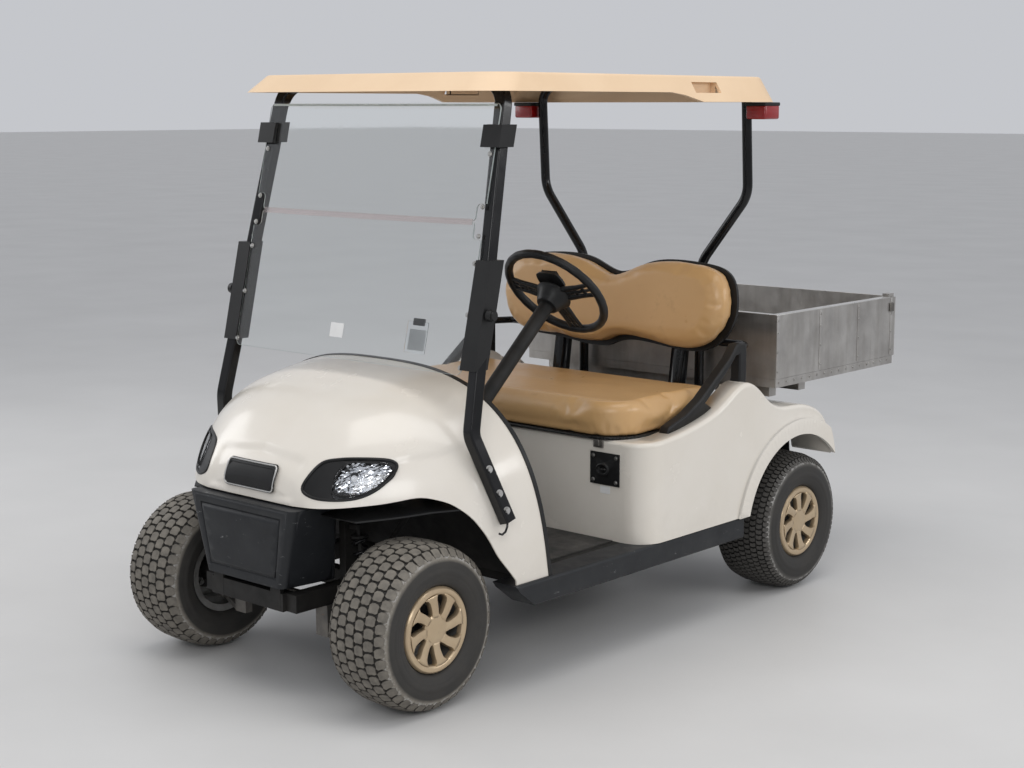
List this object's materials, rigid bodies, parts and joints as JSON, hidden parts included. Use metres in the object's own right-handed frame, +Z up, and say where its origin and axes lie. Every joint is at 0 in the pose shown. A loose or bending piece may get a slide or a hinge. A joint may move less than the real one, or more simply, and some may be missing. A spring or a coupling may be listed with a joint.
{
  "type": "golf cart",
  "caption": "Electric golf cart with a bench seat, canopy roof on hoops, folding clear windshield, steered front wheels and an aluminium cargo bed with a drop tailgate.",
  "frame": {"origin": "centre of the bounding box's footprint, on the ground", "axes": "+X to the cart's left, front towards -Y, +Z up"},
  "size_m": [1.2104, 2.604, 1.688],
  "materials": {
    "body_white": "warm white moulded plastic, lightly scuffed",
    "roof_tan": "tan moulded plastic",
    "black_plastic": "dusty black plastic",
    "grey_plastic": "dark grey textured plastic, scuffed",
    "black_paint": "black powder coat",
    "frame_paint": "black frame paint, dusty",
    "vinyl_tan": "caramel vinyl",
    "clear_sheet": "clear acrylic sheet",
    "lamp_clear": "clear lamp cover",
    "lamp_red": "red lamp plastic",
    "tyre_black": "dusty tread rubber",
    "wheel_gold": "gold wheel cover on a steel rim",
    "mat_rubber": "worn rubber mat",
    "bed_alu": "weathered aluminium sheet",
    "steel_dark": "dusty steel",
    "battery_case": "plain block for the heavy battery pack"
  },
  "bodies": {
    "cart": {"badge_plate": "black_plastic", "battery_pack": "battery_case", "bed_frame": "bed_alu", "cargo_bed": "bed_alu", "charge_port": "black_plastic", "chassis_frame": "frame_paint", "cowl_edge_trim": "black_plastic", "dash_panel": "black_plastic", "floor_mat": "mat_rubber", "floor_pan": "frame_paint", "front_bumper": "grey_plastic", "front_cowl": "body_white", "front_hoop": "black_paint", "front_shocks": "steel_dark", "front_suspension": "steel_dark", "headlamp_housings": "black_plastic", "headlamp_lenses": "lamp_clear", "hip_restraints": "black_plastic", "pedals": "black_plastic", "rear_axle": "steel_dark", "rear_body": "body_white", "rear_bumper": "grey_plastic", "rear_deck": "grey_plastic", "rear_hoop": "black_paint", "rear_springs": "steel_dark", "roof": "roof_tan", "seat_back": "vinyl_tan", "seat_back_shell": "black_plastic", "seat_frame": "black_paint", "sills": "grey_plastic", "steering_column": "frame_paint", "tail_lamps": "lamp_red", "wheel_liners": "black_plastic", "windshield_clips": "black_plastic", "windshield_lower": "clear_sheet", "windshield_upper": "clear_sheet"},
    "seat_bottom": {"seat_cushion": "vinyl_tan", "seat_pan": "black_plastic"},
    "steering": {"steering_wheel": "black_plastic"},
    "knuckle_l": {"knuckle_left": "steel_dark"},
    "knuckle_r": {"knuckle_right": "steel_dark"},
    "track_rod": {"tie_rod": "steel_dark"},
    "gate": {"tailgate": "bed_alu"},
    "road_wheel_fl": {"tyre_front_left": "tyre_black", "wheel_front_left": "wheel_gold"},
    "road_wheel_fr": {"tyre_front_right": "tyre_black", "wheel_front_right": "wheel_gold"},
    "road_wheel_rl": {"tyre_rear_left": "tyre_black", "wheel_rear_left": "wheel_gold"},
    "road_wheel_rr": {"tyre_rear_right": "tyre_black", "wheel_rear_right": "wheel_gold"}
  },
  "joints": [
    {"name": "steering_wheel_turn", "type": "hinge", "parent": "cart", "child": "steering", "pos_m": [0.295, -0.316, 1.05], "axis": [0, 0.7434, 0.6688], "range_deg": [-450, 450]},
    {"name": "steer_left", "type": "hinge", "parent": "cart", "child": "knuckle_l", "pos_m": [0.345, -1.075, 0.229], "axis": [0, 0, 1], "range_deg": [-30, 30]},
    {"name": "steer_right", "type": "hinge", "parent": "cart", "child": "knuckle_r", "pos_m": [-0.345, -1.075, 0.229], "axis": [0, 0, 1], "range_deg": [-30, 30]},
    {"name": "track_rod_pivot", "type": "hinge", "parent": "knuckle_l", "child": "track_rod", "pos_m": [0.345, -1.015, 0.204], "axis": [0, 0, 1], "range_deg": [-30, 30]},
    {"name": "roll_front_left", "type": "hinge", "parent": "knuckle_l", "child": "road_wheel_fl", "pos_m": [0.433, -1.075, 0.229], "axis": [1, 0, 0], "continuous": true},
    {"name": "roll_front_right", "type": "hinge", "parent": "knuckle_r", "child": "road_wheel_fr", "pos_m": [-0.433, -1.075, 0.229], "axis": [1, 0, 0], "continuous": true},
    {"name": "roll_rear_left", "type": "hinge", "parent": "cart", "child": "road_wheel_rl", "pos_m": [0.491, 0.605, 0.229], "axis": [1, 0, 0], "continuous": true},
    {"name": "roll_rear_right", "type": "hinge", "parent": "cart", "child": "road_wheel_rr", "pos_m": [-0.491, 0.605, 0.229], "axis": [1, 0, 0], "continuous": true},
    {"name": "seat_lift", "type": "hinge", "parent": "cart", "child": "seat_bottom", "pos_m": [0, 0.235, 0.612], "axis": [-1, 0, 0], "range_deg": [0, 58]},
    {"name": "tailgate_drop", "type": "hinge", "parent": "cart", "child": "gate", "pos_m": [0, 1.294, 0.703], "axis": [-1, 0, 0], "range_deg": [0, 90]}
  ],
  "couplings": [
    {"joint": "steer_left", "follows": "steering_wheel_turn", "ratio": 0.06666},
    {"joint": "steer_right", "follows": "steering_wheel_turn", "ratio": 0.06666},
    {"joint": "track_rod_pivot", "follows": "steering_wheel_turn", "ratio": -0.06666}
  ]
}
